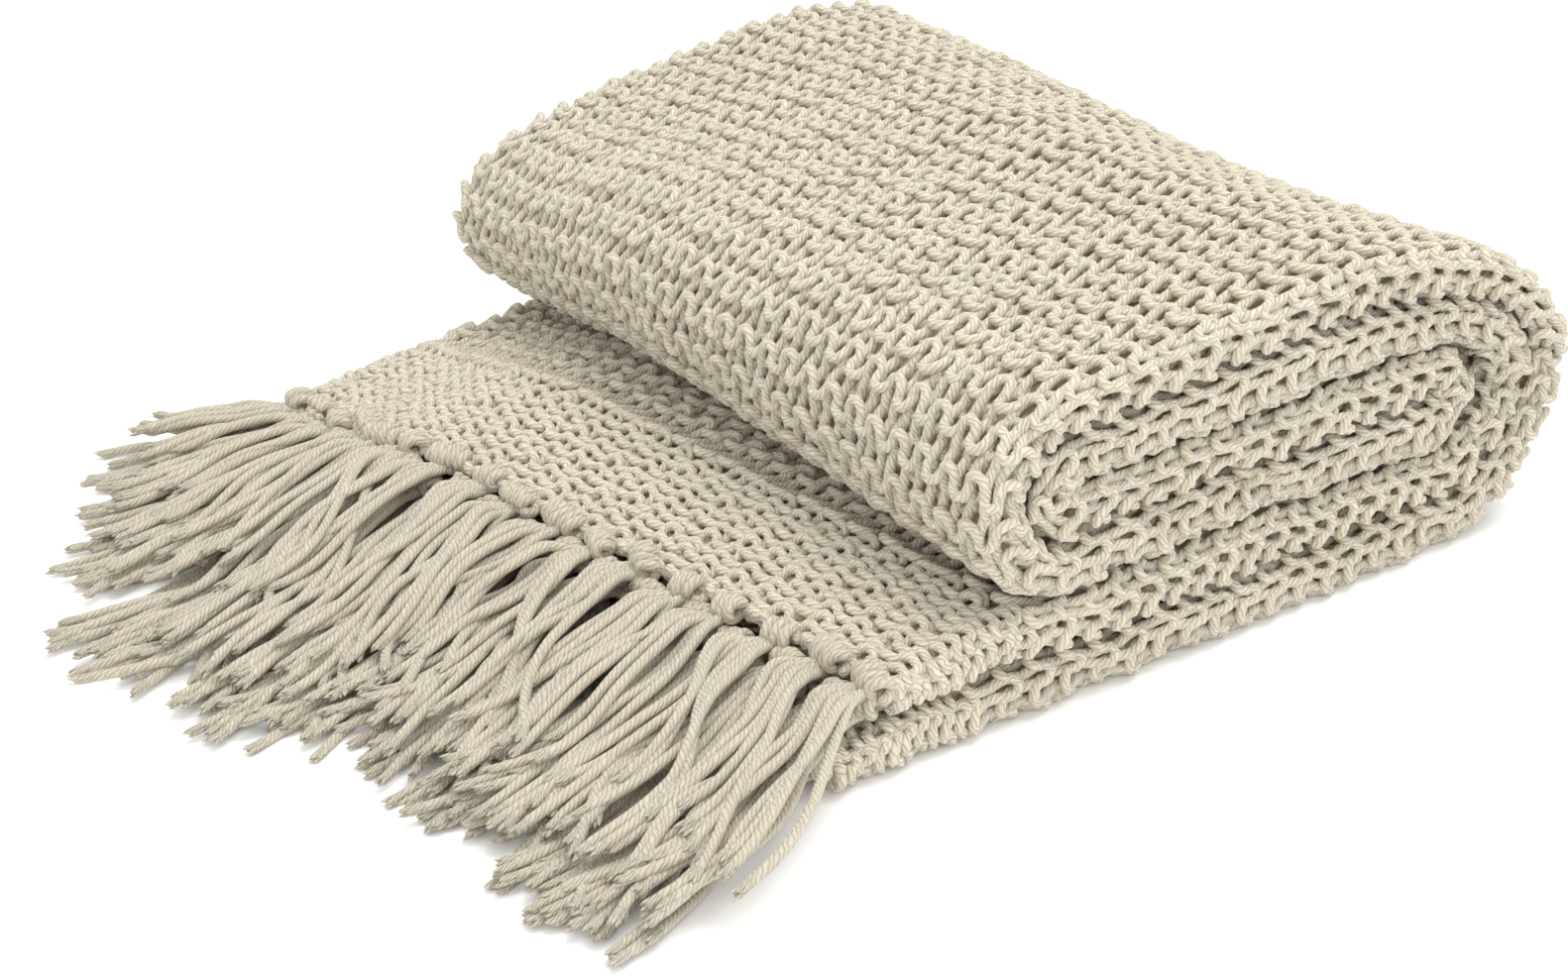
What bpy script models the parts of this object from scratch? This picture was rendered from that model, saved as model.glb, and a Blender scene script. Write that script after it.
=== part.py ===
"""A knitted cotton throw, folded in thirds, doubled and rolled, with a knotted fringe at both ends.

The cloth is one strip, three leaves thick. It runs from the lower heading along the ground, round the back,
over the top, round the nose and in to its closed end, then back inside itself to the upper heading. The section
of the strip is a letter fold: the middle third outside, the left third inside it and the right third behind.
+Y runs from the fringe to the back of the roll, +X along the roll and +Z up, in metres.
"""

import math

import bmesh
import bpy

# The folded cloth: its width, one leaf, and what lies between leaves and between bands.
FOLDED_WIDTH = 0.399
LEAF = 0.0069
LEAF_GAP = 0.0006
BAND_GAP = 0.0010
# Straight runs of the strip, between the centres of its turns.
GROUND_RUN = 0.301
TOP_RUN = 0.188
INNER_RUN = 0.180
# How far an edge leans along +Y for each metre along +X: the roll isn't quite square to its ends.
NOSE_LEAN = -0.06
UPPER_EDGE_LEAN = 0.13
# The heading bands, which are knitted closer and thinner than the field.
HEADING_LENGTH = 0.060
HEADING_LEAF = 0.0050
HEADING_GAP = 0.0024
# How the weight of the cloth settles it. A sink is a share of the height. It starts this far in front of the
# centre of the back turn, and is full its length further forward. A reach is measured from the tight end.
ROLL_SINK_WIDE_END = 0.13
ROLL_SINK_TIGHT_END = 0.22
ROLL_SINK_REACH = 0.250
ROLL_SINK_START = 0.036
ROLL_SINK_LENGTH = 0.175
STRIP_SINK_TIGHT_END = 0.30
STRIP_SINK_REACH = 0.170
STRIP_SINK_START = -0.019
STRIP_SINK_LENGTH = 0.250
# The back shoulder of the roll slumps most a little to the wide end's side of the middle.
SHOULDER_SLUMP = 0.013
SLUMP_EVERYWHERE = 0.006
SHOULDER_X = 0.050
SHOULDER_SPREAD = 0.160
SHOULDER_START = 0.066
SHOULDER_LENGTH = 0.090
SHOULDER_START_Z = 0.055
SHOULDER_HEIGHT = 0.075
# The lower layers draw in at their tight-folded end, in front of the roll.
DRAWN_IN = 0.034
DRAWN_IN_REACH = 0.130
DRAWN_IN_START_Y = 0.175
DRAWN_IN_LENGTH = 0.110
# The fringe. One tassel solid is the stack of tassels that its row has at that place.
TASSELS_IN_A_ROW = 17
TASSEL_REACH = 0.158
SHORTEST_TASSEL = 0.048
INNER_ROW_SHARE = 0.86
OUTER_ROW_SHARE = 0.70
TASSEL_SPACE = 0.0030
KNOT_WIDTH = 0.0165
KNOT_LENGTH = 0.0150
FLARE_LENGTH = 0.0200
NECK_SHARE = 0.60
# How much shorter the fringe falls at its tight end and along its wide half.
TIGHT_END_TRIM = 0.065
WIDE_HALF_TRIM = 0.036
# How far the tassels drift along X for each metre they reach: towards the wide end, but outwards at the
# tight end.
DRIFT = 0.40
TIGHT_END_DRIFT = 0.35
LOWER_ROW_HEIGHTS = (0.0155, 0.0065)
INNER_ROW_HEIGHTS = (0.0110, 0.0045)
OUTER_ROW_HEIGHTS = (0.0100, 0.0045)
ROW_GAP = 0.0005
SEAT_GAP = 0.0003
KNOT_GAP = 0.0006
# How finely turns, folds and tassels are cut.
LEAST_TURN_STEPS = 4
TURN_STEPS_PER_METRE = 160
STEPS_ACROSS = 8
STATION = 0.030
WIDE_FOLD_STEPS = 8
TIGHT_FOLD_STEPS = 6
TASSEL_SIDES = 8

HALF_WIDTH = FOLDED_WIDTH / 2
STRIP = 3 * LEAF + 2 * LEAF_GAP
HEADING_STRIP = 3 * HEADING_LEAF + 2 * LEAF_GAP
BAND_PITCH = STRIP + BAND_GAP
TASSEL_WIDTH = FOLDED_WIDTH / TASSELS_IN_A_ROW - TASSEL_SPACE


def clear_scene():
    for obj in list(bpy.data.objects):
        bpy.data.objects.remove(obj)


def cotton(name, colour, roughness):
    """Undyed cotton cord: matte, with no metal in it."""
    material = bpy.data.materials.new(name)
    material.use_nodes = True
    shader = material.node_tree.nodes["Principled BSDF"]
    shader.inputs["Base Color"].default_value = (*colour, 1)
    shader.inputs["Roughness"].default_value = roughness
    shader.inputs["Metallic"].default_value = 0
    return material


def loft(name, rings, material):
    """A closed solid through rings of equal length, settled: quads between the rings, and two caps."""
    bm = bmesh.new()
    rows = [[bm.verts.new(settle(*point)) for point in ring] for ring in rings]
    bm.faces.new(rows[0])
    bm.faces.new(rows[-1])
    for row, after in zip(rows, rows[1:]):
        for i in range(len(row)):
            bm.faces.new((row[i - 1], row[i], after[i], after[i - 1]))
    bmesh.ops.recalc_face_normals(bm, faces=bm.faces)
    mesh = bpy.data.meshes.new(name)
    bm.to_mesh(mesh)
    bm.free()
    mesh.materials.append(material)
    mesh.shade_smooth()
    mesh.set_sharp_from_angle(angle=math.radians(40))
    obj = bpy.data.objects.new(name, mesh)
    bpy.context.scene.collection.objects.link(obj)
    return obj


def smooth(share):
    """0 below 0, 1 above 1, and an even curve between them."""
    share = min(1, max(0, share))
    return share * share * (3 - 2 * share)


def settle(x, y, z):
    """Where a point of the neatly folded throw goes when the throw lies under its own weight."""
    from_tight_end = x + HALF_WIDTH
    forward = GROUND_RUN - y
    front = min(1, max(0, (forward - ROLL_SINK_START) / ROLL_SINK_LENGTH)) ** 1.25
    tight = smooth(1 - from_tight_end / ROLL_SINK_REACH)
    roll = 1 - (ROLL_SINK_WIDE_END + (ROLL_SINK_TIGHT_END - ROLL_SINK_WIDE_END) * tight) * front
    low_front = smooth((forward - STRIP_SINK_START) / STRIP_SINK_LENGTH)
    strip = 1 - STRIP_SINK_TIGHT_END * smooth(1 - from_tight_end / STRIP_SINK_REACH) * low_front
    low = 2 * BAND_PITCH
    settled_z = strip * min(z, low) + roll * max(z - low, 0)
    shoulder = smooth((SHOULDER_START - forward) / SHOULDER_LENGTH)
    shoulder *= smooth((z - SHOULDER_START_Z) / SHOULDER_HEIGHT)
    middle = math.exp(-(((x - SHOULDER_X) / SHOULDER_SPREAD) ** 2))
    slump = shoulder * (SLUMP_EVERYWHERE + SHOULDER_SLUMP * middle)
    drawn = smooth(1 - from_tight_end / DRAWN_IN_REACH)
    drawn *= smooth((DRAWN_IN_START_Y - y) / DRAWN_IN_LENGTH)
    inward = DRAWN_IN * drawn * smooth((1.6 * low - z) / (0.6 * low))
    # An upper edge that leans stays straight when it is drawn in, so pieces that meet along it still fit.
    upper = min(1, max(0, (z - lower_end_top(y)) / ROW_GAP))
    along = upper_lean(y) * inward * upper
    return x + inward, y + along - 0.65 * slump, settled_z - 0.76 * slump


def arc(centre_x, centre_n, radius, start, end, steps):
    """Points of an arc in the strip's section, with angles in degrees from +x towards +n."""
    angles = [math.radians(start + (end - start) * i / steps) for i in range(steps + 1)]
    return [(centre_x + radius * math.cos(a), centre_n + radius * math.sin(a)) for a in angles]


def run(start_x, end_x, n):
    """A straight stretch of the section, with points where every leaf has them."""
    stops = [FOLDED_WIDTH * (i / STEPS_ACROSS - 0.5) for i in range(1, STEPS_ACROSS)]
    low, high = min(start_x, end_x) + 0.005, max(start_x, end_x) - 0.005
    inside = [x for x in stops if low < x < high]
    if end_x < start_x:
        inside.reverse()
    return [(x, n) for x in inside]


def letter_fold(leaf):
    """The section, as (x, n) points round three leaves that two folds join. Its outer face is at +n."""
    pitch = leaf + LEAF_GAP
    half = leaf / 2
    wide_x = HALF_WIDTH - pitch - half
    tight_x = -HALF_WIDTH + pitch / 2 + half
    free_x = -HALF_WIDTH + leaf
    return [
        *run(tight_x, wide_x, pitch + half),
        *arc(wide_x, 0, pitch + half, 90, -90, WIDE_FOLD_STEPS),
        *run(wide_x, free_x, -pitch - half),
        (free_x, -pitch - half),
        (free_x, -pitch + half),
        *run(free_x, wide_x, -pitch + half),
        *arc(wide_x, 0, pitch - half, -90, 90, WIDE_FOLD_STEPS // 2),
        *run(wide_x, tight_x, pitch - half),
        *arc(tight_x, pitch / 2, (pitch - leaf) / 2, 90, 270, 2),
        *run(tight_x, wide_x, half),
        (wide_x, half),
        (wide_x, -half),
        *run(wide_x, tight_x, -half),
        *arc(tight_x, pitch / 2, (pitch + leaf) / 2, 270, 90, TIGHT_FOLD_STEPS),
    ]


def nose_lean(y):
    """The roll's lean, which is full at the nose and gone at the back turn."""
    share = min(1, max(0, (GROUND_RUN - y) / TOP_RUN))
    return NOSE_LEAN * share


def upper_lean(y):
    """The upper end's lean, which grows from nothing at the back turn to its full value at the edge."""
    return UPPER_EDGE_LEAN * (GROUND_RUN - y) / GROUND_RUN


def stations(start_y, end_y):
    """The places between two turns where every band has a ring."""
    count = int(GROUND_RUN / STATION) + 1
    low, high = min(start_y, end_y) + 0.008, max(start_y, end_y) - 0.008
    inside = [STATION * i for i in range(count + 1) if low < STATION * i < high]
    if end_y < start_y:
        inside.reverse()
    return inside


def straight(start, end):
    """Frames between two frames of a straight run."""
    share = [(y - start[0]) / (end[0] - start[0]) for y in stations(start[0], end[0])]
    return [tuple(a + (b - a) * part for a, b in zip(start, end, strict=True)) for part in share]


def strip_frames():
    """(y, z, heading, lean) along the middle of the strip. Heading 0 is +Y, and a quarter turn points up."""
    y = HEADING_LENGTH + SEAT_GAP
    z = STRIP / 2
    heading = 0.0
    frames = [(y, z, heading, 0.0)]
    turns = [
        (GROUND_RUN - y, 2.5, 1),
        (TOP_RUN, 1.5, 1),
        (INNER_RUN, 0.5, 1),
        (INNER_RUN, 0.5, -1),
        (TOP_RUN, 1.5, -1),
    ]
    for run, bands, side in turns:
        forward = round(math.cos(heading))
        rise = side * forward
        radius = bands * BAND_PITCH
        y += run * forward
        steps = LEAST_TURN_STEPS + round(TURN_STEPS_PER_METRE * radius)
        frames += straight(frames[-1], (y, z, heading, nose_lean(y)))
        for i in range(steps + 1):
            turned = math.pi * i / steps
            frames.append(
                (
                    y + forward * radius * math.sin(turned),
                    z + rise * radius * (1 - math.cos(turned)),
                    heading + side * turned,
                    nose_lean(y),
                )
            )
        z += 2 * rise * radius
        heading += side * math.pi
    y = HEADING_LENGTH + SEAT_GAP
    last = (y, z, heading, upper_lean(y))
    frames += [*straight(frames[-1], last), last]
    return frames


def strip_ring(section, frame):
    """The section's points at one frame. Its outer face lies to the right of the way the strip goes."""
    y, z, heading, lean = frame
    return [
        (x, y + lean * x + n * math.sin(heading), z - n * math.cos(heading))
        for x, n in section
    ]


def lower_end_top(y):
    """The height of what the upper end lies on: the lower heading, and in front of it the lower fringe."""
    if y < 0:
        knot, tip = LOWER_ROW_HEIGHTS
        return knot + (tip - knot) * min(1, -y / TASSEL_REACH)
    return HEADING_STRIP + (STRIP - HEADING_STRIP) * min(1, y / HEADING_LENGTH)


def heading_leaf(y):
    return HEADING_LEAF + (LEAF - HEADING_LEAF) * y / HEADING_LENGTH


def heading_stops():
    return [HEADING_LENGTH * i / 3 for i in range(3, -1, -1)]


def lower_heading_rings():
    rings = []
    for y in heading_stops():
        half_strip = 1.5 * heading_leaf(y) + LEAF_GAP
        rings.append(strip_ring(letter_fold(heading_leaf(y)), (y, half_strip, 0, 0)))
    return rings


def upper_heading_rings():
    rings = []
    for y in heading_stops():
        half_strip = 1.5 * heading_leaf(y) + LEAF_GAP
        ring = []
        for x, n in letter_fold(heading_leaf(y)):
            place = y + upper_lean(y) * x
            ring.append((x, place, lower_end_top(place) + HEADING_GAP + half_strip + n))
        rings.append(ring)
    return rings


def tassel_shape(reach):
    """(distance from the edge, share of the row's height, width): knot, neck, flare and tip."""
    return [
        (0, 0.55, 0.6 * KNOT_WIDTH),
        (KNOT_LENGTH / 2, 1.0, KNOT_WIDTH),
        (KNOT_LENGTH, 0.75, NECK_SHARE * TASSEL_WIDTH),
        (KNOT_LENGTH + FLARE_LENGTH, 0.95, TASSEL_WIDTH),
        (0.5 * (KNOT_LENGTH + FLARE_LENGTH + reach), 0.95, TASSEL_WIDTH),
        (reach, 0.7, 0.85 * TASSEL_WIDTH),
    ]


def fringe_line(place):
    """How far out the tips lie, for a place from 0 at the tight end to 1 at the wide end."""
    tight = TIGHT_END_TRIM * max(0, 1 - place / 0.35) ** 2
    return TASSEL_REACH - tight - WIDE_HALF_TRIM * smooth((place - 0.4) / 0.25)


def drift(place):
    return DRIFT * smooth((place - 0.05) / 0.35) - TIGHT_END_DRIFT * (1 - smooth(place / 0.30))


def tassel_rings(number, lean, row_share, floor, heights):
    """A tassel's rings. floor(y, distance, line) is what it lies on, that far from its edge."""
    rings = []
    knot, tip = heights
    place = number / (TASSELS_IN_A_ROW - 1)
    knot_x = FOLDED_WIDTH * ((number + 0.5) / TASSELS_IN_A_ROW - 0.5)
    line = fringe_line(place) + lean * knot_x
    reach = max(SHORTEST_TASSEL, row_share * line)
    for distance, fullness, width in tassel_shape(reach):
        row_height = knot + (tip - knot) * distance / reach
        centre_x = knot_x + drift(place) * max(0, distance - KNOT_LENGTH)
        ring = []
        for i in range(TASSEL_SIDES):
            angle = 2 * math.pi * (i + 0.5) / TASSEL_SIDES
            across = width / 2 * math.cos(angle)
            y = lean * (knot_x + across) - KNOT_GAP - distance
            z = floor(y, distance, line) + row_height * (1 + fullness * math.sin(angle)) / 2
            ring.append((centre_x + across, y, z))
        rings.append(ring)
    return rings


def lower_floor(y, distance, line):
    return SEAT_GAP


def inner_floor(y, distance, line):
    return lower_end_top(y) + ROW_GAP


def outer_floor(y, distance, line):
    knot, tip = INNER_ROW_HEIGHTS
    share = distance / max(SHORTEST_TASSEL, INNER_ROW_SHARE * line)
    return inner_floor(y, distance, line) + knot + (tip - knot) * share + ROW_GAP


def make_fringe(material):
    rows = [
        ("lower", 0.0, 1.0, lower_floor, LOWER_ROW_HEIGHTS),
        ("inner", UPPER_EDGE_LEAN, INNER_ROW_SHARE, inner_floor, INNER_ROW_HEIGHTS),
        ("outer", UPPER_EDGE_LEAN, OUTER_ROW_SHARE, outer_floor, OUTER_ROW_HEIGHTS),
    ]
    for row, lean, row_share, floor, heights in rows:
        for number in range(TASSELS_IN_A_ROW):
            rings = tassel_rings(number, lean, row_share, floor, heights)
            loft(f"tassel_{row}_{number + 1:02d}", rings, material)


def centre_on_origin():
    """Moves every mesh so that the whole throw's box is centred on the origin and stands on z = 0."""
    meshes = [obj.data for obj in bpy.data.objects]
    corners = [[v.co[axis] for mesh in meshes for v in mesh.vertices] for axis in range(3)]
    shift = (
        -(min(corners[0]) + max(corners[0])) / 2,
        -(min(corners[1]) + max(corners[1])) / 2,
        -min(corners[2]),
    )
    for mesh in meshes:
        for vertex in mesh.vertices:
            vertex.co = [value + moved for value, moved in zip(vertex.co, shift, strict=True)]


def main():
    clear_scene()
    knitted = cotton("garter_stitch_cotton", (0.74, 0.70, 0.60), 0.95)
    close_knitted = cotton("close_knitted_cotton", (0.76, 0.72, 0.63), 0.95)
    corded = cotton("fringe_cord_cotton", (0.78, 0.74, 0.65), 0.9)
    section = letter_fold(LEAF)
    loft("folded_cloth", [strip_ring(section, frame) for frame in strip_frames()], knitted)
    loft("heading_band_lower", lower_heading_rings(), close_knitted)
    loft("heading_band_upper", upper_heading_rings(), close_knitted)
    make_fringe(corded)
    centre_on_origin()


main()
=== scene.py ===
# %% [markdown]
# # A knitted cotton throw, down to its yarn
# The throw is one knitted strip: folded in thirds across, then doubled and rolled up loosely. The
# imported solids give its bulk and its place. This script lays real yarn over that bulk: every stitch
# that can be seen is a loop of cord. It could be a smooth blanket with a knitted picture on it, but
# chunky knitting casts shadows into its own holes and breaks the outline into bumps, and only real
# loops do that from every side.

# %% The frame and its sizes
import math

import bmesh
import bpy
import numpy as np
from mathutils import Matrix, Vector


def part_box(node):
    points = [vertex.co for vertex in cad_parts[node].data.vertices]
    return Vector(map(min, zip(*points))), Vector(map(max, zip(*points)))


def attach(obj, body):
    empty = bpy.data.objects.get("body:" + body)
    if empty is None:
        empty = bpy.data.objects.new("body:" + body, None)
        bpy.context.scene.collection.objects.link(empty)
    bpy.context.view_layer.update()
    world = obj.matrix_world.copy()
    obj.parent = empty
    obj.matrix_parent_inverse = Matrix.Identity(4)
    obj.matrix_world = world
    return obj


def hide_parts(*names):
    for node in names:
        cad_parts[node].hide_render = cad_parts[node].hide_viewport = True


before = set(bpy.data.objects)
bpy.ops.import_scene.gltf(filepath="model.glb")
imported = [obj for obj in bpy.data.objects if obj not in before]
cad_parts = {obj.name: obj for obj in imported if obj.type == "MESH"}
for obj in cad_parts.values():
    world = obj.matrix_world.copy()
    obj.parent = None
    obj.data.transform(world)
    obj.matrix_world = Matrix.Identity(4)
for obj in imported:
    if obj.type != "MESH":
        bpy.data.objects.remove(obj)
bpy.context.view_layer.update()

cloth_low, cloth_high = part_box("folded_cloth")
lower_low, lower_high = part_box("heading_band_lower")

# %% [markdown]
# ## Sizes of the fold
# The folded strip lies on itself in six bands. The solids give its thickness and its width. The
# fold is worked out in its own coordinates: x from the middle of the fold, y from the edge that the
# lower fringe is tied to, z from the floor.

# %% Sizes of the fold
STRIP = lower_high.z - lower_low.z
PITCH = STRIP + 0.0010
LEAF_PITCH = 0.343 * STRIP
HEADING = lower_high.y - lower_low.y
HALF_WIDTH = (cloth_high.x - cloth_low.x) / 2
MIDDLE_X = (cloth_high.x + cloth_low.x) / 2
EDGE_Y = lower_low.y
BACK_Y = 0.301
TOP_RUN = 0.188
INNER_RUN = 0.180
HEADING_SHARE = 0.74
NOSE_LEAN = -0.06
UPPER_LEAN = 0.13
rng = np.random.default_rng(29)
print(f"strip {1000 * STRIP:.1f} mm, band pitch {1000 * PITCH:.1f} mm")

# %% [markdown]
# ## The way the strip goes
# A point of the cloth needs three numbers: s, how far along the strip; u, how far across the opened
# cloth; and m, how far out from its face. One line through the middle of the strip turns s into a
# place and a direction. It is a list of short steps, read by linear interpolation, so thousands of
# yarn points can be placed in one call.

# %% The way the strip goes
def smooth(value):
    value = np.clip(value, 0, 1)
    return value * value * (3 - 2 * value)


def strip_line():
    """Rows of (s, y, z, heading, lean). Heading 0 goes towards +Y and a quarter turn points up."""
    y, z, heading, s = 0.0, STRIP / 2, 0.0, -HEADING
    rows = [(s, y, z, heading, 0.0)]
    inwards = ((BACK_Y, 2.5, 1), (TOP_RUN, 1.5, 1), (INNER_RUN, 0.5, 1))
    outwards = ((INNER_RUN, 0.5, -1), (TOP_RUN, 1.5, -1))
    for run, bands, side in inwards + outwards:
        forward = round(math.cos(heading))
        y += run * forward
        s += run
        radius = bands * PITCH
        lean = NOSE_LEAN * min(1, max(0, (BACK_Y - y) / TOP_RUN))
        for turned in np.linspace(0, math.pi, 61):
            bend_y = y + forward * radius * math.sin(turned)
            bend_z = z + side * forward * radius * (1 - math.cos(turned))
            rows.append((s + radius * turned, bend_y, bend_z, heading + side * turned, lean))
        s += math.pi * radius
        z += 2 * side * forward * radius
        heading += side * math.pi
    rows.append((s + BACK_Y, 0.0, z, heading, UPPER_LEAN))
    return np.array(rows).T


LINE = strip_line()
LAST_S = LINE[0][-1] - HEADING
print(f"the opened throw is {LAST_S + 2 * HEADING:.2f} m long without its fringe")

# %% [markdown]
# ## The letter fold
# Across, the cloth is folded like a letter: one third behind, the middle third outside, and the
# last third between them. The line across is straight, round the wide fold, straight, round the
# tight fold and straight again. Round a fold the length is that of the outside of the cloth, as
# thick knitting takes up more of itself there.

# %% The letter fold
LOOPS_BEYOND = 0.0035
EXTRA_ROUND_FOLD = 0.0025
EDGE_INSET = 0.007
STITCH_WIDTH = 0.01425
FOLD_STEPS = 25
WIDE_X = HALF_WIDTH - LEAF_PITCH - LOOPS_BEYOND
TIGHT_X = -HALF_WIDTH + LEAF_PITCH / 2 + LOOPS_BEYOND


def leaf_line():
    """Rows of (u, x, n, angle of the outer face) across the opened cloth."""
    rows = [(0.0, EDGE_INSET - HALF_WIDTH, -LEAF_PITCH, -math.pi / 2)]
    u = WIDE_X + HALF_WIDTH - EDGE_INSET
    round_fold = LEAF_PITCH + EXTRA_ROUND_FOLD
    for angle in np.linspace(-math.pi / 2, math.pi / 2, FOLD_STEPS):
        step = round_fold * (angle + math.pi / 2)
        out = LEAF_PITCH * math.cos(angle) ** 0.6
        up = LEAF_PITCH * math.copysign(abs(math.sin(angle)) ** 0.8, angle)
        rows.append((u + step, WIDE_X + out, up, angle))
    u += math.pi * round_fold + WIDE_X - TIGHT_X
    half = LEAF_PITCH / 2
    for angle in np.linspace(math.pi / 2, 3 * math.pi / 2, FOLD_STEPS):
        step = (half + EXTRA_ROUND_FOLD) * (angle - math.pi / 2)
        rows.append((u + step, TIGHT_X + half * math.cos(angle), half + half * math.sin(angle), angle))
    u += math.pi * (half + EXTRA_ROUND_FOLD)
    rows.append((u + WIDE_X - TIGHT_X, WIDE_X, 0.0, 3 * math.pi / 2))
    return np.array(rows).T


ACROSS = leaf_line()
OPEN_WIDTH = ACROSS[0][-1]
WALES = round(OPEN_WIDTH / STITCH_WIDTH)
WALE = OPEN_WIDTH / WALES
print(f"the opened throw is {OPEN_WIDTH:.2f} m wide, {WALES} stitches of {1000 * WALE:.1f} mm")

# %% [markdown]
# ## From cloth to space
# Soft things are never exact. After a point is placed, slow waves push it out of true. Sums of
# sines are enough for that, and unlike a noise texture they read the same in any script. Then the
# weight of the cloth settles it: the front of the roll sinks, most at its tight end, the back
# shoulder slumps, and the layers in front draw in.

# %% From cloth to space
FRINGE_SLOPE, FRINGE_SLOPE_LENGTH = 0.055, 0.17
UPPER_LIFT = 0.0015
ROLL_SINK, ROLL_SINK_MORE = 0.13, 0.09
ROLL_SINK_START, ROLL_SINK_LENGTH, ROLL_SINK_REACH = 0.036, 0.175, 0.250
STRIP_SINK, STRIP_SINK_REACH = 0.30, 0.170
STRIP_SINK_START, STRIP_SINK_LENGTH = -0.019, 0.250
SLUMP_EVERYWHERE, SHOULDER_SLUMP = 0.006, 0.013
SHOULDER_X, SHOULDER_SPREAD = 0.050, 0.160
SHOULDER_START, SHOULDER_LENGTH = 0.066, 0.090
SHOULDER_Z, SHOULDER_HEIGHT = 0.055, 0.075
DRAWN_IN, DRAWN_IN_REACH = 0.034, 0.130
DRAWN_IN_START, DRAWN_IN_LENGTH = 0.175, 0.110


def floor_under_upper_end(y):
    """The height of what the upper end lies on: the lower heading, then the lower fringe."""
    thin = STRIP * HEADING_SHARE
    heading = thin + (STRIP - thin) * smooth(y / HEADING)
    return heading - FRINGE_SLOPE * np.clip(-y, 0, FRINGE_SLOPE_LENGTH)


def waves(a, b, c, seed):
    """A slow, smooth and repeatable wander from -1 to 1 over three coordinates in metres."""
    total = 0
    for k in range(1, 5):
        p, q, r = (math.sin(seed * 7.1 + k * v) * 9 for v in (1.3, 2.1, 2.9))
        total = total + np.sin(a * (11 + p) + b * (13 + q) + c * (17 + r) + seed + 1.7 * k)
    return total / 4


def wander(x, y, z):
    """Pushes points of the roll a little out of true. Heights near the floor hardly change."""
    high = smooth((z - 0.045) / 0.08)
    z = z + high * 0.0024 * waves(x, y, z, 1.0)
    y = y + high * 0.0030 * waves(x, y, z, 2.0)
    x = x + 0.0034 * waves(0.4 * x, 2.2 * y, 3.0 * z, 3.0)
    end = smooth((np.abs(x) - HALF_WIDTH + 0.020) / 0.015)
    x = x + end * 0.0022 * waves(0, 9 * y, 12 * z, 8.0)
    z = z + end * smooth(z / 0.012) * 0.0020 * waves(0, 8 * y, 5 * z, 9.0)
    return x, y, z


def settle(x, y, z):
    """Where a point of the neatly folded throw goes when the throw lies under its own weight."""
    from_tight_end = x + HALF_WIDTH
    forward = BACK_Y - y
    front = np.clip((forward - ROLL_SINK_START) / ROLL_SINK_LENGTH, 0, 1) ** 1.25
    roll = 1 - (ROLL_SINK + ROLL_SINK_MORE * smooth(1 - from_tight_end / ROLL_SINK_REACH)) * front
    sunk = smooth(1 - from_tight_end / STRIP_SINK_REACH)
    strip = 1 - STRIP_SINK * sunk * smooth((forward - STRIP_SINK_START) / STRIP_SINK_LENGTH)
    low = 2 * PITCH
    settled_z = strip * np.minimum(z, low) + roll * np.maximum(z - low, 0)
    shoulder = smooth((SHOULDER_START - forward) / SHOULDER_LENGTH)
    shoulder = shoulder * smooth((z - SHOULDER_Z) / SHOULDER_HEIGHT)
    bump = np.exp(-(((x - SHOULDER_X) / SHOULDER_SPREAD) ** 2))
    slump = shoulder * (SLUMP_EVERYWHERE + SHOULDER_SLUMP * bump)
    drawn = smooth(1 - from_tight_end / DRAWN_IN_REACH) * smooth((DRAWN_IN_START - y) / DRAWN_IN_LENGTH)
    inward = DRAWN_IN * drawn * smooth((1.6 * low - z) / (0.6 * low))
    upper = np.clip((z - floor_under_upper_end(y)) / 0.002, 0, 1)
    along = UPPER_LEAN * forward / BACK_Y * inward * upper
    return x + inward, y + along - 0.65 * slump, settled_z - 0.76 * slump


def rest(x, y, z):
    """Settled points as rows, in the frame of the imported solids."""
    x, y, z = settle(x, y, z)
    return np.column_stack([np.ravel(x) + MIDDLE_X, np.ravel(y) + EDGE_Y, np.ravel(z)])


def place(s, u, m):
    """Points in space for cloth points, where m is out from the cloth's outer face."""
    s, u, m = np.broadcast_arrays(s, u, m)
    x = np.interp(u, ACROSS[0], ACROSS[1])
    n = np.interp(u, ACROSS[0], ACROSS[2])
    face = np.interp(u, ACROSS[0], ACROSS[3])
    ends = np.maximum(np.clip(-s / HEADING, 0, 1), np.clip((s - LAST_S) / HEADING, 0, 1))
    n = n * (1 - (1 - HEADING_SHARE) * ends)
    x = x + m * np.cos(face)
    n = n + m * np.sin(face)
    y, z, heading, lean = (np.interp(s, LINE[0], LINE[k]) for k in (1, 2, 3, 4))
    y = y + lean * x + n * np.sin(heading)
    z = z - n * np.cos(heading)
    upper = np.clip((s - LAST_S + 0.02) / 0.02, 0, 1)
    half = STRIP / 2 * (1 - (1 - HEADING_SHARE) * ends)
    lifted = floor_under_upper_end(y) + UPPER_LIFT + half + n
    z = z + upper * (lifted - z)
    z = np.where(s < 0, half - n, z)
    return rest(*wander(x, y, z))


print("top of the roll, mm:", (1000 * place(np.array([0.62]), np.array([0.6]), np.array([0.0]))).round())

# %% [markdown]
# ## Undyed cotton
# The yarn is three plies of matte cotton. Each cord carries its own map: one coordinate counts
# plies round and along the cord, the other is the distance along it in metres. The ply count makes
# the grooves between plies, shifted a little by a noise so that no two turns are alike, and the
# grooves are coloured darker than the crests as painted shade. A fine noise stretched along the
# plies makes the fibres. Cotton is soft-edged because light enters the fibres, which a little
# sheen and subsurface scattering stand for.

# %% Undyed cotton
def linear(code):
    """A shader colour from an sRGB hex code."""
    parts = [int(code[i : i + 2], 16) / 255 for i in (0, 2, 4)]
    return (*[p / 12.92 if p <= 0.04045 else ((p + 0.055) / 1.055) ** 2.4 for p in parts], 1)


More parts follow.
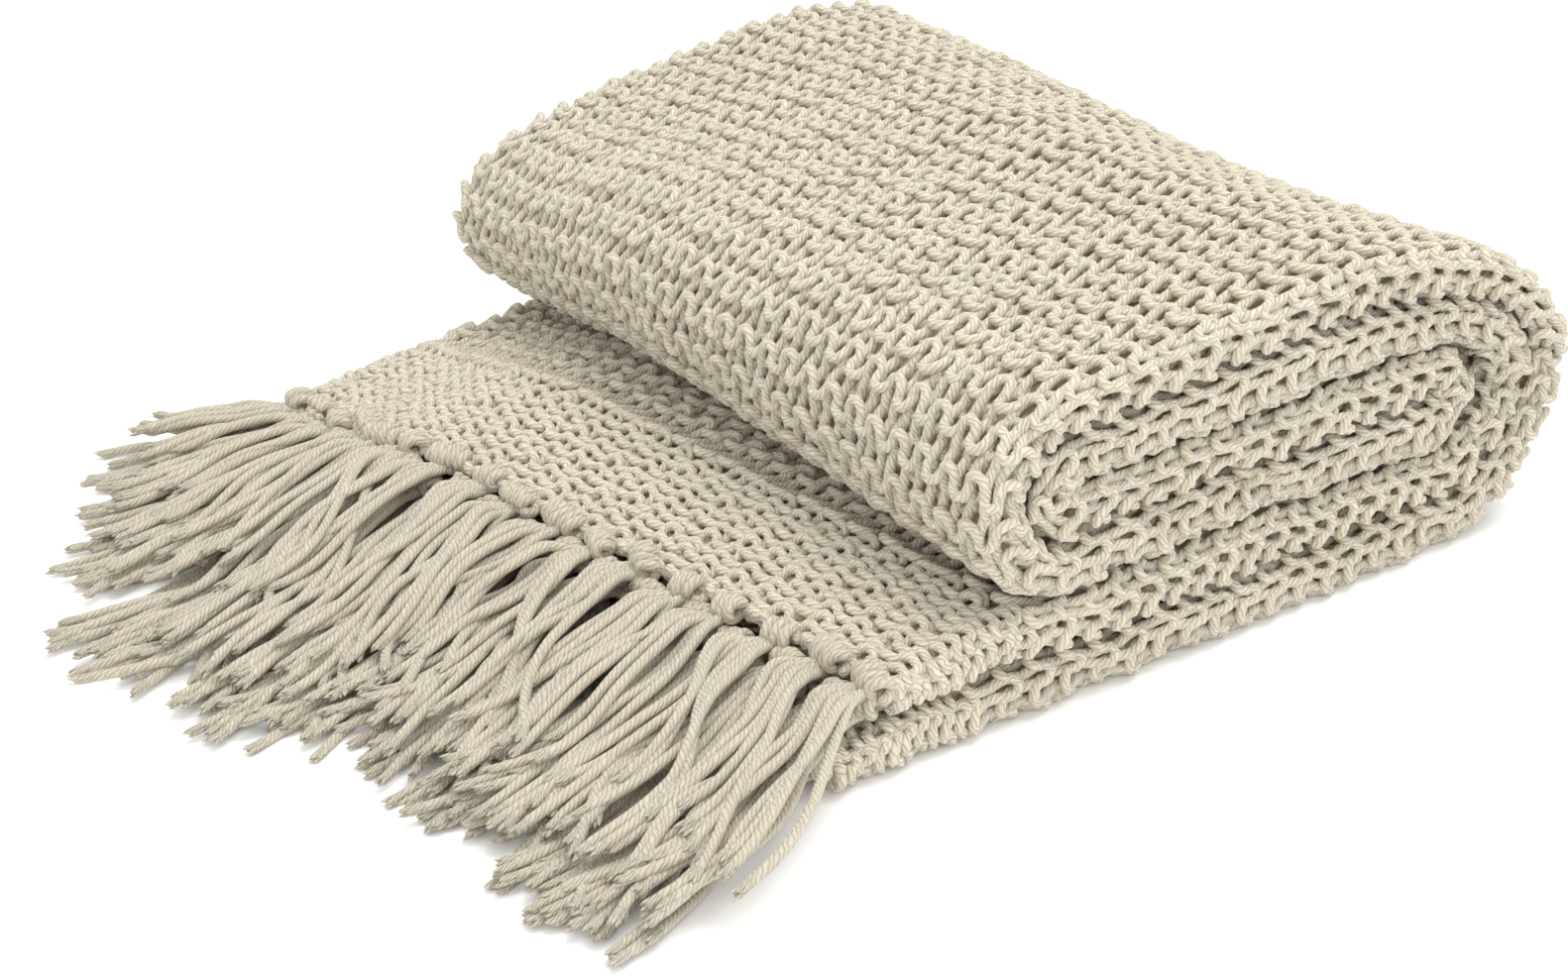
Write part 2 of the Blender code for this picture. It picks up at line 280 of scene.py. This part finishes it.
def add(tree, kind, inputs=None, **settings):
    """A new shader node. An input is set by a value, or joined to the output given for it."""
    node = tree.nodes.new(kind)
    for name, value in settings.items():
        setattr(node, name, value)
    for name, value in (inputs or {}).items():
        socket = node.inputs[name]
        if isinstance(value, bpy.types.NodeSocket):
            tree.links.new(value, socket)
        else:
            socket.default_value = value
    return node


def math_node(tree, operation, first, second=0.0):
    return add(tree, "ShaderNodeMath", {0: first, 1: second}, operation=operation).outputs[0]


def yarn_material(name, light, groove_shade, ply_height):
    material = bpy.data.materials.new(name)
    material.use_nodes = True
    tree = material.node_tree
    shader = tree.nodes["Principled BSDF"]
    cord_map = add(tree, "ShaderNodeUVMap", uv_map="Cord")
    split = add(tree, "ShaderNodeSeparateXYZ", {0: cord_map.outputs[0]})
    plies, along = split.outputs[0], split.outputs[1]
    where = add(tree, "ShaderNodeTexCoord")
    place_in_object = where.outputs["Object"]
    uneven = add(tree, "ShaderNodeTexNoise", {"Vector": place_in_object, "Scale": 380.0, "Detail": 1.0})
    shifted = math_node(tree, "ADD", plies, math_node(tree, "MULTIPLY", uneven.outputs[0], 1.3))
    wave = math_node(tree, "SINE", math_node(tree, "MULTIPLY", shifted, math.pi))
    crest = math_node(tree, "ABSOLUTE", wave)
    fibre_place = add(
        tree,
        "ShaderNodeCombineXYZ",
        {0: math_node(tree, "MULTIPLY", plies, 5.0), 1: math_node(tree, "MULTIPLY", along, 140.0)},
    )
    fibres = add(
        tree,
        "ShaderNodeTexNoise",
        {"Vector": fibre_place.outputs[0], "Scale": 1.0, "Detail": 4.0, "Roughness": 0.65},
        noise_dimensions="2D",
    )
    blotch = add(tree, "ShaderNodeTexNoise", {"Vector": place_in_object, "Scale": 45.0, "Detail": 2.0})
    # Painted shade: the crest sets how much of the darker groove colour is used, so the grooves between
    # plies are painted darker.
    depth = math_node(tree, "POWER", crest, 0.8)
    # Sockets 0, 6 and 7 of a colour mix are its factor and its two colours.
    colours = {0: depth, 6: linear(groove_shade), 7: linear(light)}
    toned = add(tree, "ShaderNodeMix", colours, data_type="RGBA").outputs[2]
    fibre_tone = add(
        tree,
        "ShaderNodeMapRange",
        {"Value": fibres.outputs[0], "From Min": 0.3, "From Max": 0.7, "To Min": 0.84, "To Max": 1.08},
    )
    blotch_tone = add(
        tree,
        "ShaderNodeMapRange",
        {"Value": blotch.outputs[0], "From Min": 0.3, "From Max": 0.7, "To Min": 0.95, "To Max": 1.03},
    )
    strength = math_node(tree, "MULTIPLY", fibre_tone.outputs[0], blotch_tone.outputs[0])
    final = add(tree, "ShaderNodeVectorMath", {0: toned, "Scale": strength}, operation="SCALE")
    height = math_node(tree, "ADD", crest, math_node(tree, "MULTIPLY", fibres.outputs[0], 0.35))
    bump = add(tree, "ShaderNodeBump", {"Height": height, "Distance": ply_height, "Strength": 1.0})
    tree.links.new(final.outputs[0], shader.inputs["Base Color"])
    tree.links.new(bump.outputs[0], shader.inputs["Normal"])
    shader.inputs["Roughness"].default_value = 0.95
    shader.inputs["Specular IOR Level"].default_value = 0.15
    shader.inputs["Sheen Weight"].default_value = 0.25
    shader.inputs["Sheen Roughness"].default_value = 0.6
    shader.inputs["Subsurface Weight"].default_value = 0.18
    shader.inputs["Subsurface Radius"].default_value = (1.0, 0.75, 0.45)
    shader.inputs["Subsurface Scale"].default_value = 0.003
    return material


FIELD_YARN = yarn_material("three_ply_field_yarn", "D5CEBE", "BBAD8C", 0.0004)
HEADING_YARN = yarn_material("three_ply_heading_yarn", "D8D1C1", "BEB08F", 0.0004)
FRINGE_YARN = yarn_material("three_ply_fringe_yarn", "C9C2B1", "B3A689", 0.0004)
print("materials:", [m.name for m in bpy.data.materials if "yarn" in m.name])

# %% [markdown]
# ## Cord from a line
# A cord is a line with thickness. Blender's curves give that with a round bevel, and a mesh made
# from the curve keeps its rings in order, so the map of plies can be written from the ring and the
# side that each corner is on. Each of the plies is itself a thread or two, so five grooves wind
# round the cord.

# %% Cord from a line
THREADS = 5
PLY_TURN = 0.0125
YARN_RADIUS = 0.00205


def map_plies(mesh, lines, sides):
    """Writes the Cord map: ply count and distance along, for each corner of each face."""
    along = []
    for points in lines:
        steps = np.linalg.norm(np.diff(points, axis=0), axis=1)
        along.append(np.repeat(np.concatenate([[0], np.cumsum(steps)]), sides))
    along = np.concatenate(along)
    corner = np.empty(len(mesh.loops), np.int64)
    mesh.loops.foreach_get("vertex_index", corner)
    starts = np.empty(len(mesh.polygons), np.int64)
    mesh.polygons.foreach_get("loop_start", starts)
    totals = np.diff(np.append(starts, len(corner)))
    side = corner % sides
    highest = np.repeat(np.maximum.reduceat(side, starts), totals)
    quads = np.repeat(totals == 4, totals)
    side = np.where(quads & (highest == sides - 1) & (side == 0), sides, side)
    distance = along[corner]
    plies = THREADS * (side / sides + distance / PLY_TURN)
    for layer in list(mesh.uv_layers):
        mesh.uv_layers.remove(layer)
    layer = mesh.uv_layers.new(name="Cord")
    layer.data.foreach_set("uv", np.column_stack([plies, distance]).ravel())


def cords(name, lines, material, radius=YARN_RADIUS, sides=8, radii=None):
    """One mesh of many cords, none of them under the floor. radii scales each point's thickness."""
    curve = bpy.data.curves.new(name, "CURVE")
    curve.dimensions = "3D"
    curve.twist_mode = "MINIMUM"
    curve.bevel_depth = radius
    curve.bevel_resolution = (sides - 4) // 2
    for index, points in enumerate(lines):
        points[:, 2] = np.maximum(points[:, 2], radius)
        spline = curve.splines.new("POLY")
        spline.points.add(len(points) - 1)
        spline.points.foreach_set("co", np.column_stack([points, np.ones(len(points))]).ravel())
        if radii is not None:
            spline.points.foreach_set("radius", radii[index])
    maker = bpy.data.objects.new(name + "_line", curve)
    bpy.context.scene.collection.objects.link(maker)
    graph = bpy.context.evaluated_depsgraph_get()
    mesh = bpy.data.meshes.new_from_object(maker.evaluated_get(graph))
    bpy.data.objects.remove(maker)
    mesh.name = name
    map_plies(mesh, lines, sides)
    mesh.shade_smooth()
    mesh.materials.clear()
    mesh.materials.append(material)
    obj = bpy.data.objects.new(name, mesh)
    bpy.context.scene.collection.objects.link(obj)
    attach(obj, "root")
    return obj


def triangles(objects):
    return sum(sum(len(p.vertices) - 2 for p in o.data.polygons) for o in objects)


# %% [markdown]
# ## One course of garter stitch
# A course is one yarn that rises and falls through the course before it. Along the course it
# wanders to and fro, so that each loop is wider at its head and foot than at its waist. In garter
# stitch, rows are knitted on one side and then the other: in one course the heads of the loops
# stand out and their feet sink, and in the next it is the other way round. The heading is knitted
# closer, with heads and feet both on the face and the waists behind. Handled cloth is pulled out of
# line, so the courses drift a few millimetres, except beside the headings that hold them straight.

# %% One course of garter stitch
COURSE = 0.00725
LOOP_HALF = 0.0073
STAND_OUT = 0.0027
BULGE = 0.12 * WALE
DRIFT = 0.0050
CLOSE_HALF, CLOSE_OUT = 0.0046, 0.0013


def course(s, first, last, facing, steps, close=False):
    """Cloth points of the yarn of one course, from one stitch number to another."""
    t = np.arange(round((last - first) * steps) + 1) / steps + first
    stitch = np.floor(t + 0.5)
    tall = 1 + 0.08 * np.sin(stitch * 12.9 + s * 2100) + 0.05 * np.sin(stitch * 4.1 + s * 717)
    aside = 0.0006 * np.sin(stitch * 5.3 + s * 911)
    wave = 2 * math.pi * t
    u = WALE * t + BULGE * np.sin(2 * wave) + aside
    if close:
        half, out = CLOSE_HALF, CLOSE_OUT * np.cos(2 * wave)
    else:
        half, out = LOOP_HALF, -facing * STAND_OUT * np.cos(wave)
    along = s - half * tall * np.cos(wave)
    along = along + 0.0007 * np.sin(t * 2.3 + s * 500) + 0.0004 * np.sin(t * 5.9 + s * 1700)
    u = u + 0.0007 * np.sin(t * 1.7 + s * 800)
    inside = smooth(min(s, LAST_S - s) / 0.06)
    along = along + inside * DRIFT * waves(2 * u, 1.5 * s, 0, 11.0)
    out = out + 0.0005 * np.sin(t * 4.3 + s * 1300) + 0.0004 * np.sin(t * 1.1 + s * 300)
    return along, u, out


field_courses = [(COURSE * (i + 0.5), 1 if i % 2 else -1) for i in range(int(LAST_S / COURSE))]
print(f"{len(field_courses)} courses of garter stitch")

# %% [markdown]
# ## Which stitches are made
# The open throw has over twenty thousand stitches, and most lie inside the roll where nothing can
# see them. So the outside of the roll and the strip that runs out to the fringe get whole courses,
# and the inner bands get only the stitches near the two ends, where their folds show.

# %% Which stitches are made
def stitch_at(u):
    return u / WALE


behind = ACROSS[0][1]
outside = ACROSS[0][FOLD_STEPS]
tight = ACROSS[0][FOLD_STEPS + 1]
inner = ACROSS[0][2 * FOLD_STEPS]
WIDE_END = (math.floor(stitch_at(behind)) - 3, math.ceil(stitch_at(outside)) + 3)
TIGHT_END = (math.floor(stitch_at(tight)) - 3, math.ceil(stitch_at(inner)) + 3)
WHOLE = (WIDE_END[0], TIGHT_END[1])
FREE_EDGE = (0, 4)
back_turn = BACK_Y - HEADING
top_start = back_turn + math.pi * 2.5 * PITCH
nose_start = top_start + TOP_RUN
nose_end = nose_start + math.pi * 1.5 * PITCH
SHOWN_RUNS = [(0.0, nose_end + 0.035), (LAST_S - 0.085, LAST_S + 0.01)]


def shown(s):
    return any(low <= s <= high for low, high in SHOWN_RUNS)


def field_lines(courses):
    lines = []
    for s, facing in courses:
        ground = s < back_turn - 0.01
        spans = [WHOLE] if shown(s) else [WIDE_END, TIGHT_END]
        for first, last in spans:
            steps = 10 if ground else 12
            lines.append(place(*course(s, first, last, facing, steps)))
    for (s, facing), (s_next, facing_next) in zip(courses[::2], courses[1::2]):
        here = place(*course(s, *FREE_EDGE, facing, 10))
        after = place(*course(s_next, *FREE_EDGE, facing_next, 10))
        lines.append(np.concatenate([here[::-1], after]))
    return lines


GROUP = 12
for number, start in enumerate(range(0, len(field_courses), GROUP), 1):
    courses = field_courses[start : start + GROUP]
    sides = 8 if any(shown(s) for s, _ in courses) else 6
    name = f"garter_courses_{number:02d}"
    obj = cords(name, field_lines(courses), FIELD_YARN, sides=sides)

# %% [markdown]
# ## The headings
# Both ends of the throw have a band of closer knitting, ten courses deep. Its yarn is the same, and
# its face shows only heads and feet, as short dashes in rows.

# %% The headings
HEADING_COURSES = 10
HEADING_COURSE = 0.0060


def heading_lines(upper):
    lines = []
    for i in range(HEADING_COURSES):
        into = HEADING_COURSE * (i + 0.6)
        s = LAST_S + into if upper else -into
        spans = [WHOLE] if upper or i > 7 else [WIDE_END, TIGHT_END]
        for first, last in spans + [FREE_EDGE]:
            lines.append(place(*course(s, first, last, 1, 12, close=True)))
    return lines


def edge_lines(upper):
    """The end of the cloth: short loops that bend over it, and the cord that they hold."""
    last = LAST_S + HEADING if upper else -HEADING
    outward = 1 if upper else -1
    lines = []
    for first, end in [WHOLE, FREE_EDGE]:
        t = np.arange((end - first) * 12 + 1) / 12 + first
        wave = 4 * math.pi * t
        lines.append(place(last + outward * 0.0012 * np.cos(wave), WALE * t, 0.0012 * np.sin(wave)))
        held = last - outward * (0.0022 + 0.0016 * np.cos(wave + 1))
        lines.append(place(held, WALE * t, -0.0030 + 0.0008 * np.sin(wave)))
    return lines


def make_heading(name, upper, sides):
    lines = heading_lines(upper) + edge_lines(upper)
    return cords(name, lines, HEADING_YARN, sides=sides)


upper_heading = make_heading("heading_upper_courses", True, 8)
lower_heading = make_heading("heading_lower_courses", False, 6)
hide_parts("heading_band_upper")
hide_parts("heading_band_lower")
print("heading triangles:", triangles([upper_heading, lower_heading]))

# %% [markdown]
# ## The cloth behind the loops
# Behind the loops that are modelled, the cloth goes on as one thin sheet, folded and rolled with
# them. It shuts the holes with something knitted and shadowed, its shade painted into its colour,
# and it has the size of the throw opened flat.

# %% The cloth behind the loops
def painted_shade_cloth_material():
    material = bpy.data.materials.new("cotton_in_shadow")
    material.use_nodes = True
    tree = material.node_tree
    shader = tree.nodes["Principled BSDF"]
    cloth_map = add(tree, "ShaderNodeUVMap", uv_map="Cloth")
    split = add(tree, "ShaderNodeSeparateXYZ", {0: cloth_map.outputs[0]})
    rows = math_node(tree, "SINE", math_node(tree, "MULTIPLY", split.outputs[1], 2 * math.pi / COURSE))
    wales = math_node(tree, "SINE", math_node(tree, "MULTIPLY", split.outputs[0], 4 * math.pi / WALE))
    height = math_node(tree, "MULTIPLY", rows, wales)
    shade = add(
        tree,
        "ShaderNodeMapRange",
        {"Value": height, "From Min": -1.0, "From Max": 1.0, "To Min": 0.7, "To Max": 1.0},
    )
    # Painted shade: the sheet is coloured darker and warmer than the yarn, for the shadow deep in the
    # holes, and its knit pattern is darkened in its hollows.
    final = add(
        tree,
        "ShaderNodeVectorMath",
        {0: linear("CDBC94")[:3], "Scale": shade.outputs[0]},
        operation="SCALE",
    )
    bump = add(tree, "ShaderNodeBump", {"Height": height, "Distance": 0.001})
    tree.links.new(final.outputs[0], shader.inputs["Base Color"])
    tree.links.new(bump.outputs[0], shader.inputs["Normal"])
    shader.inputs["Roughness"].default_value = 1.0
    shader.inputs["Specular IOR Level"].default_value = 0.1
    return material


def cloth_sheet():
    u = np.linspace(0, OPEN_WIDTH, 121)
    s = np.arange(-HEADING + 0.002, LAST_S + HEADING - 0.002, 0.010)
    grid_s, grid_u = np.meshgrid(s, u, indexing="ij")
    in_heading = np.clip(np.maximum(-grid_s, grid_s - LAST_S) / 0.01, 0, 1)
    points = place(grid_s.ravel(), grid_u.ravel(), (-0.0026 + 0.0014 * in_heading).ravel())
    points[:, 2] = np.maximum(points[:, 2], 0.0008)
    wide = len(u)
    row, column = np.meshgrid(np.arange(len(s) - 1), np.arange(wide - 1), indexing="ij")
    low = (row * wide + column).ravel()
    faces = np.column_stack([low, low + 1, low + wide + 1, low + wide])
    mesh = bpy.data.meshes.new("throw_cloth")
    mesh.from_pydata(points.tolist(), [], faces.tolist())
    layer = mesh.uv_layers.new(name="Cloth")
    corner = np.empty(len(mesh.loops), np.int64)
    mesh.loops.foreach_get("vertex_index", corner)
    layer.data.foreach_set("uv", np.column_stack([grid_u.ravel(), grid_s.ravel()])[corner].ravel())
    mesh.materials.append(painted_shade_cloth_material())
    mesh.shade_smooth()
    obj = bpy.data.objects.new("throw_cloth", mesh)
    bpy.context.scene.collection.objects.link(obj)
    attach(obj, "root")
    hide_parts("folded_cloth")
    return obj


cloth = cloth_sheet()
print("cloth sheet triangles:", triangles([cloth]))

# %% [markdown]
# ## Knots
# Each tassel is a bundle of cords drawn through the edge and tied. What shows of the knot is the
# bundle wrapped once round, three to five cords side by side along the edge, so it is drawn as
# cords winding round a line along the edge.

# %% Knots
WRAP_SPACING = 0.0036


def frame_of(direction):
    """A direction as a unit vector, and two more square to it, the second one pointing mostly up."""
    direction = np.array(direction) / np.linalg.norm(direction)
    side = np.cross(direction, (0, 0, 1.0))
    side /= np.linalg.norm(side)
    return direction, side, np.cross(side, direction)


def knot_lines(centre, direction, radius, wraps, turn):
    """Cords wound round an axis: each starts a little further along it."""
    direction, side, up = frame_of(direction)
    lines = []
    for k in range(wraps):
        angle = np.linspace(turn, turn + 2 * math.pi * 1.06, 22)
        share = (angle - turn) / (2 * math.pi)
        from_middle = k - (wraps - 1) / 2
        offset = from_middle * WRAP_SPACING + 0.0034 * (share - 0.5) + 0.0006 * np.sin(angle * 2 + turn)
        bulge = radius * (1 - 0.14 * abs(from_middle)) * (1 + 0.12 * np.sin(angle + 2 * k + turn))
        ring = np.outer(np.cos(angle) * bulge, side) + np.outer(np.sin(angle) * bulge * 0.85, up)
        lines.append(centre + ring + np.outer(offset, direction))
    return lines


# %% [markdown]
# ## The fringe
# The cords of a tassel leave the knot side by side and run down over the pile beneath. A cord is
# drawn by its direction: it sets off square to the edge, turns the way its neighbours go, and then
# takes its own small turns, so cords that start together also cross. Each ends in a blunt tuft,
# where its threads part.

# %% The fringe
PLACES = 17
ROWS = ("lower", "inner", "outer")
ROW_SHARES = {"lower": 1.0, "inner": 0.90, "outer": 0.74}
ROW_STACKS = {"lower": 3, "inner": 2, "outer": 1}
CORDS_IN_A_TASSEL = {"lower": 5, "inner": 5, "outer": 7}
STEP_LENGTHS = {"lower": 0.0034, "inner": 0.0024, "outer": 0.0018}
LAYER = 0.0034
FRINGE_REACH = 0.158
TIGHT_END_TRIM, WIDE_HALF_TRIM = 0.065, 0.036
OFF_THE_FLOOR = 0.0003
EDGE_MARGIN = 0.012
FRINGE_RADIUS = 0.00195
THREAD_RADIUS = 0.0012
KNOT_CORD_RADIUS = 0.0022
SHORTEST_TASSEL = 0.048


def fringe_line(share):
    """How far out the tips lie, for a share along the edge from the tight end."""
    tight = TIGHT_END_TRIM * np.clip(1 - share / 0.35, 0, 1) ** 2
    return FRINGE_REACH - tight - WIDE_HALF_TRIM * smooth((share - 0.4) / 0.25)


def fringe_turn(row, share):
    """The way the fringe has fallen, as an angle from square to the edge towards the wide end."""
    fallen = 0.40 * smooth((share - 0.05) / 0.35) - 0.35 * (1 - smooth(share / 0.30))
    if row == "outer":
        fallen = fallen + 0.30 * smooth((share - 0.75) / 0.2) - 0.45 * smooth((0.22 - share) / 0.2)
    else:
        fallen = fallen - 0.20 * smooth((share - 0.80) / 0.20)
    return np.arctan(fallen)


def row_floor(row, y, q):
    """The height that a row of cords lies at, from its knots (q = 0) to its tips (q = 1)."""
    if row == "lower":
        return np.full_like(q, OFF_THE_FLOOR)
    pile = floor_under_upper_end(y) + UPPER_LIFT
    if row == "outer":
        pile = pile + 0.0095 - 0.0050 * q
    return pile * (1 - 0.30 * smooth((q - 0.6) / 0.4))


def strand(row, knot, side, layer, length, turn, bunch, steps):
    """The line of one cord of a tassel, from inside its knot to its tip, in the fold's coordinates."""
    aside, bend, sway, pace, phase = bunch
    d = np.linspace(0, length, steps)
    q = d / length
    shared = 0.28 * waves(0.8 * knot[0], 0.55 * d, 0, 5.0 if row == "outer" else 6.0)
    small = rng.normal(0, 0.075) + 0.10 * np.sin(d * rng.uniform(60, 110) + rng.uniform(0, 6.3))
    angle = turn * smooth(d / 0.028) + bend * q**2
    wander_off = aside + sway * np.sin(d * pace + phase) + shared + small
    angle = angle + wander_off * smooth((d - 0.008) / 0.035)
    step = length / (steps - 1)
    x = knot[0] + np.concatenate([[0], np.cumsum(np.sin(angle[:-1]))]) * step
    y = knot[1] - np.concatenate([[0], np.cumsum(np.cos(angle[:-1]))]) * step
    x = x + side * (0.25 + 0.75 * smooth((d - 0.004) / 0.018))
    low = row_floor(row, y, q)
    lift = 0.0021 + layer * LAYER * (1 - 0.35 * q) + 0.0010 * np.sin(phase + d * 80) * smooth(d / 0.03)
    in_knot = 1 - smooth((d - 0.004) / 0.024)
    z = (low + lift) * (1 - in_knot) + (knot[2] - 0.0030 + 0.0010 * math.sin(2 * layer)) * in_knot
    return x, y, z + 0.0012 * np.exp(-(((d - 0.017) / 0.006) ** 2))


def frayed_tip(line):
    """The threads of a cord's end, parting as a blunt tuft."""
    tip = line[-1]
    along, side, up = frame_of(line[-1] - line[-4])
    turn, lines = rng.uniform(0, 6.3), []
    for k in range(THREADS):
        angle = turn + k * 2 * math.pi / THREADS
        out = math.cos(angle) * side + 0.8 * math.sin(angle) * up
        d = np.linspace(-0.004, rng.uniform(0.0015, 0.0050), 5)
        bend = 0.0010 + rng.uniform(0.0, 0.22) * np.clip(d, 0, 1)
        lines.append(tip + np.outer(d, along) + np.outer(bend, out))
    return lines


def fringe_cords(name, lines, radius, sides, radii):
    return cords(name, lines, FRINGE_YARN, radius=radius, sides=sides, radii=radii)


def make_tassel(row, number):
    """A stack of tassels at one place of a row: knots, cords and frayed ends."""
    spacing = 2 * HALF_WIDTH / PLACES
    lean = 0.0 if row == "lower" else UPPER_LEAN
    knots, fibres, tips = [], [], []
    for level in range(ROW_STACKS[row]):
        shift = {"outer": 0.0, "inner": 0.42 - 0.75 * level, "lower": 0.3 * (level - 1)}[row]
        x = -HALF_WIDTH + spacing * (number - 0.5 + shift) + rng.uniform(-0.0025, 0.0025)
        x = min(max(x, EDGE_MARGIN - HALF_WIDTH), HALF_WIDTH - EDGE_MARGIN)
        share = float(np.clip((x / HALF_WIDTH + 1) / 2, 0, 1))
        out = {"outer": 0.002, "inner": 0.008 + 0.003 * level, "lower": 0.006}[row]
        out += rng.uniform(-0.002, 0.002)
        y = lean * x - out
        base = 0.0 if row == "lower" else float(floor_under_upper_end(y))
        height = {"outer": 0.0160, "inner": 0.0095 - 0.002 * level, "lower": 0.0075 + 0.002 * level}[row]
        knot = np.array([x, y, base + height + rng.uniform(-0.001, 0.001)])
        turn = float(fringe_turn(row, share)) + rng.normal(0, 0.10)
        direction = (1, lean + rng.uniform(-0.6, 0.5), rng.uniform(-0.25, 0.25))
        centre = rest(*knot)[0]
        if row != "lower" or level == 1:
            size = rng.uniform(0.0038, 0.0050) if row == "outer" else 0.0038
            knots += knot_lines(centre, direction, size, rng.integers(3, 6), rng.uniform(0, 6.3))
        stray = 0.018 * math.exp(-(((share - 0.30) / 0.11) ** 2)) if row == "lower" else 0.0
        at_wide_end = float(smooth((share - 0.70) / 0.25))
        row_reach = ROW_SHARES[row] * (float(fringe_line(share)) + lean * x)
        reach = max(SHORTEST_TASSEL, row_reach) + stray - out
        reach -= 0.010 * at_wide_end if row == "outer" else 0.0
        bunches = []
        for _ in range(2 + 2 * (row == "outer")):
            bend = rng.uniform(-0.55, 0.45 - 0.40 * at_wide_end)
            spin = rng.normal(0, 0.12 - 0.05 * at_wide_end), bend, rng.uniform(0.08, 0.24)
            bunches.append((*spin, rng.uniform(35, 70), rng.uniform(0, 6.3)))
        for k in range(CORDS_IN_A_TASSEL[row]):
            bunch = bunches[k % len(bunches)]
            bunch_side = ((k % len(bunches)) - (len(bunches) - 1) / 2) * 0.0058
            side = bunch_side + (k // len(bunches) - 0.5) * 0.0040
            layer = rng.uniform(0, 1.0) + 0.6 * ((k + number) % len(bunches))
            if row == "lower":
                layer = 0.7 * level + rng.uniform(0, 0.5)
            length = reach / math.cos(turn) * rng.uniform(0.84, 1.02) - 0.004
            steps = round(length / STEP_LENGTHS[row])
            line = rest(*strand(row, knot, side, layer, length, turn, bunch, steps))
            fibres.append(line)
            tips += frayed_tip(line)
    name = f"tassel_{row}_{number:02d}"
    narrowed = [np.concatenate([np.ones(len(line) - 2), [0.85, 0.02]]) for line in fibres]
    sides = 6 if row == "lower" else 8
    body = fringe_cords(name + "_cords", fibres, FRINGE_RADIUS, sides, narrowed)
    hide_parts(name)
    tip_radii = [np.array([1.0, 1.0, 1.0, 0.9, 0.02])] * len(tips)
    ends = fringe_cords(name + "_ends", tips, THREAD_RADIUS, 4, tip_radii)
    made = [body, ends]
    if knots:
        closed = [np.concatenate([[0.02, 0.8], np.ones(len(line) - 4), [0.8, 0.02]]) for line in knots]
        made.append(fringe_cords(name + "_knot", knots, KNOT_CORD_RADIUS, 8, closed))
    return made


fringe_pieces = []
for row in ROWS:
    for number in range(1, PLACES + 1):
        fringe_pieces += make_tassel(row, number)
print(f"{len(fringe_pieces)} pieces of fringe, {triangles(fringe_pieces)} triangles")

# %% [markdown]
# ## The sheet
# The throw is one sheet, with the size that it opens out to, held folded. All of its yarn hangs
# from the same root as the sheet.

# %% The sheet
print(f"sheet of {OPEN_WIDTH:.3f} x {LAST_S + 2 * HEADING:.3f} m, held folded")

# %% [markdown]
# ## Floor, light and camera
# The throw lies on a pale seamless floor under one large soft light from above and behind, with a
# weaker fill from the camera's side, so the front of the roll is in gentle shade. Plain colour
# management keeps the pale yarn pale. The camera looks down at it from beyond its wide-folded end.

# %% Floor, light and camera
FLOOR_HALF = 12
OVER_THE_THROW = (0, 0, 0.05)


def make_floor():
    bm = bmesh.new()
    bmesh.ops.create_grid(bm, x_segments=1, y_segments=1, size=FLOOR_HALF)
    mesh = bpy.data.meshes.new("floor")
    bm.to_mesh(mesh)
    bm.free()
    material = bpy.data.materials.new("pale_floor")
    material.use_nodes = True
    shader = material.node_tree.nodes["Principled BSDF"]
    shader.inputs["Base Color"].default_value = linear("FFFFFF")
    shader.inputs["Roughness"].default_value = 0.9
    mesh.materials.append(material)
    floor = bpy.data.objects.new("floor", mesh)
    bpy.context.scene.collection.objects.link(floor)


def area_light(name, place_at, aim, size, power):
    lamp = bpy.data.lights.new(name, "AREA")
    lamp.shape = "DISK"
    lamp.size = size
    lamp.energy = power
    obj = bpy.data.objects.new(name, lamp)
    obj.location = place_at
    obj.rotation_euler = (Vector(aim) - Vector(place_at)).to_track_quat("-Z", "Y").to_euler()
    bpy.context.scene.collection.objects.link(obj)


make_floor()
area_light("key", (0.25, 0.45, 1.9), OVER_THE_THROW, 1.5, 22)
area_light("fill", (1.4, -0.9, 0.9), OVER_THE_THROW, 1.6, 9.5)
world = bpy.data.worlds.new("studio")
world.use_nodes = True
background = world.node_tree.nodes["Background"]
background.inputs["Color"].default_value = linear("FFFFFF")
background.inputs["Strength"].default_value = 1.0
bpy.context.scene.world = world
bpy.context.scene.view_settings.view_transform = "Standard"
camera_data = bpy.data.cameras.new("camera")
camera_data.lens = 59.1
camera = bpy.data.objects.new("camera", camera_data)
camera.location = (0.7705 + MIDDLE_X, EDGE_Y - 0.4465, 0.485)
camera.rotation_euler = (math.radians(90 - 26.9), 0, math.radians(53.6))
bpy.context.scene.collection.objects.link(camera)
bpy.context.scene.camera = camera
print("camera", [round(v, 3) for v in camera.location])
